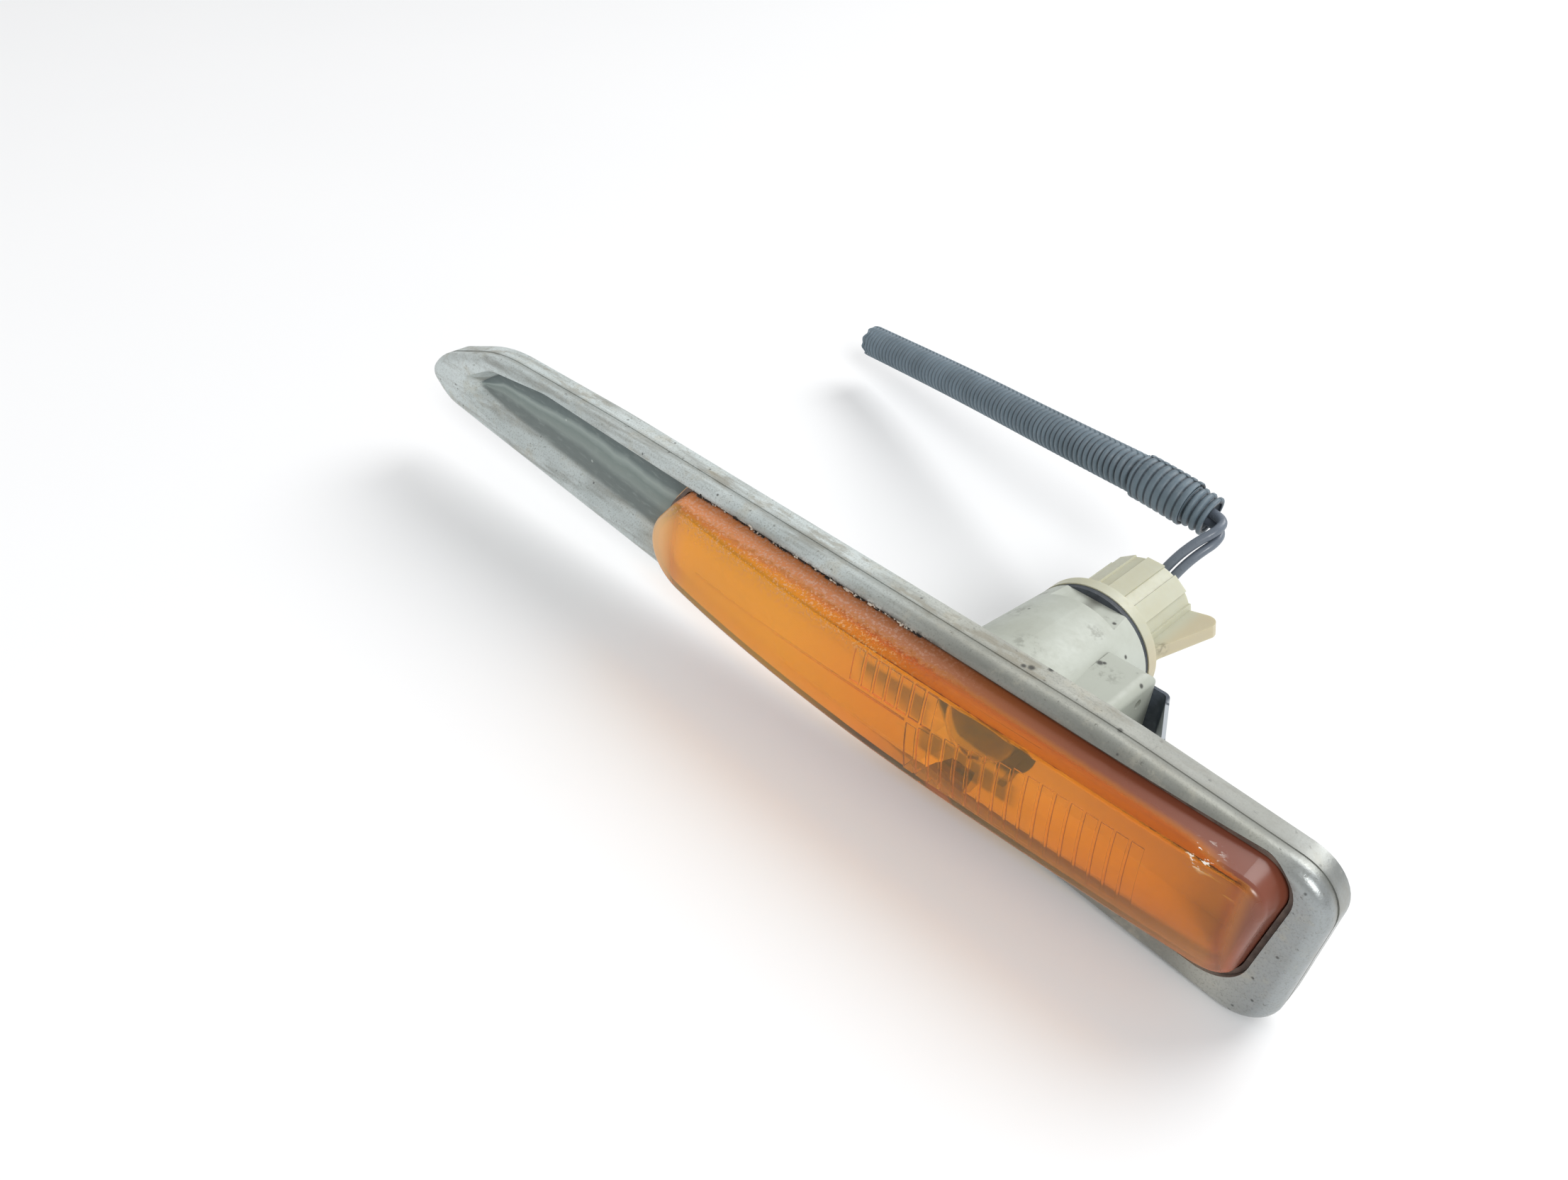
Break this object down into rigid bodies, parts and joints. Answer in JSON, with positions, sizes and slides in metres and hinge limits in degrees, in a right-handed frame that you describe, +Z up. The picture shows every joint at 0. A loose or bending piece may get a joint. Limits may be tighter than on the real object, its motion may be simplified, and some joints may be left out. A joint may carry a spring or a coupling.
{
  "type": "vehicle indicator lamp",
  "caption": "Spear-shaped vehicle indicator lamp: plated bezel, bulged amber lens with flutes, grey housing, twist-in bulb holder, spring clip and a short lead in corrugated conduit.",
  "frame": {"origin": "on the plane of the bezel's rear rim, which sits on the panel, at mid length and at the bulb's height", "axes": "+X along the lamp from the narrow nose to the wide end, +Y back through the panel into the vehicle, +Z up"},
  "size_m": [0.2818, 0.1534, 0.0478],
  "materials": {
    "bezel_plating": "aged bright plating, dull and finely pitted",
    "amber_lens": "amber acrylic, glossy with fine scratches",
    "black_seal": "matt black rubber",
    "grey_housing": "light grey moulded plastic with light dirt",
    "spring_steel": "blackened spring steel",
    "aged_nylon": "yellowed natural nylon, satin",
    "brass_contacts": "rolled strip",
    "bulb_brass": "drawn cap, satin",
    "cap_glass": "black insulator",
    "solder": "solder pip",
    "clear_glass": "clear",
    "support_wire": "plain wire",
    "filament": "coiled tungsten",
    "wire_sheath": "dark grey sheath",
    "conduit_plastic": "dark grey corrugated plastic, dusty"
  },
  "bodies": {
    "root": {"bezel": "bezel_plating", "lens": "amber_lens", "lens_seal": "black_seal", "housing": "grey_housing", "spring_clip": "spring_steel", "holder_seal": "black_seal", "bulb_holder": "aged_nylon", "terminal_live": "brass_contacts", "terminal_earth": "brass_contacts", "bulb_cap": "bulb_brass", "cap_insulator": "cap_glass", "bulb_contact": "solder", "bulb_glass": "clear_glass", "bulb_stem": "clear_glass", "support_a": "support_wire", "support_b": "support_wire", "bulb_filament": "filament", "wire_plug": "black_seal", "wire_a": "wire_sheath", "wire_b": "wire_sheath", "conduit": "conduit_plastic", "conduit_wrap": "conduit_plastic"}
  },
  "joints": []
}
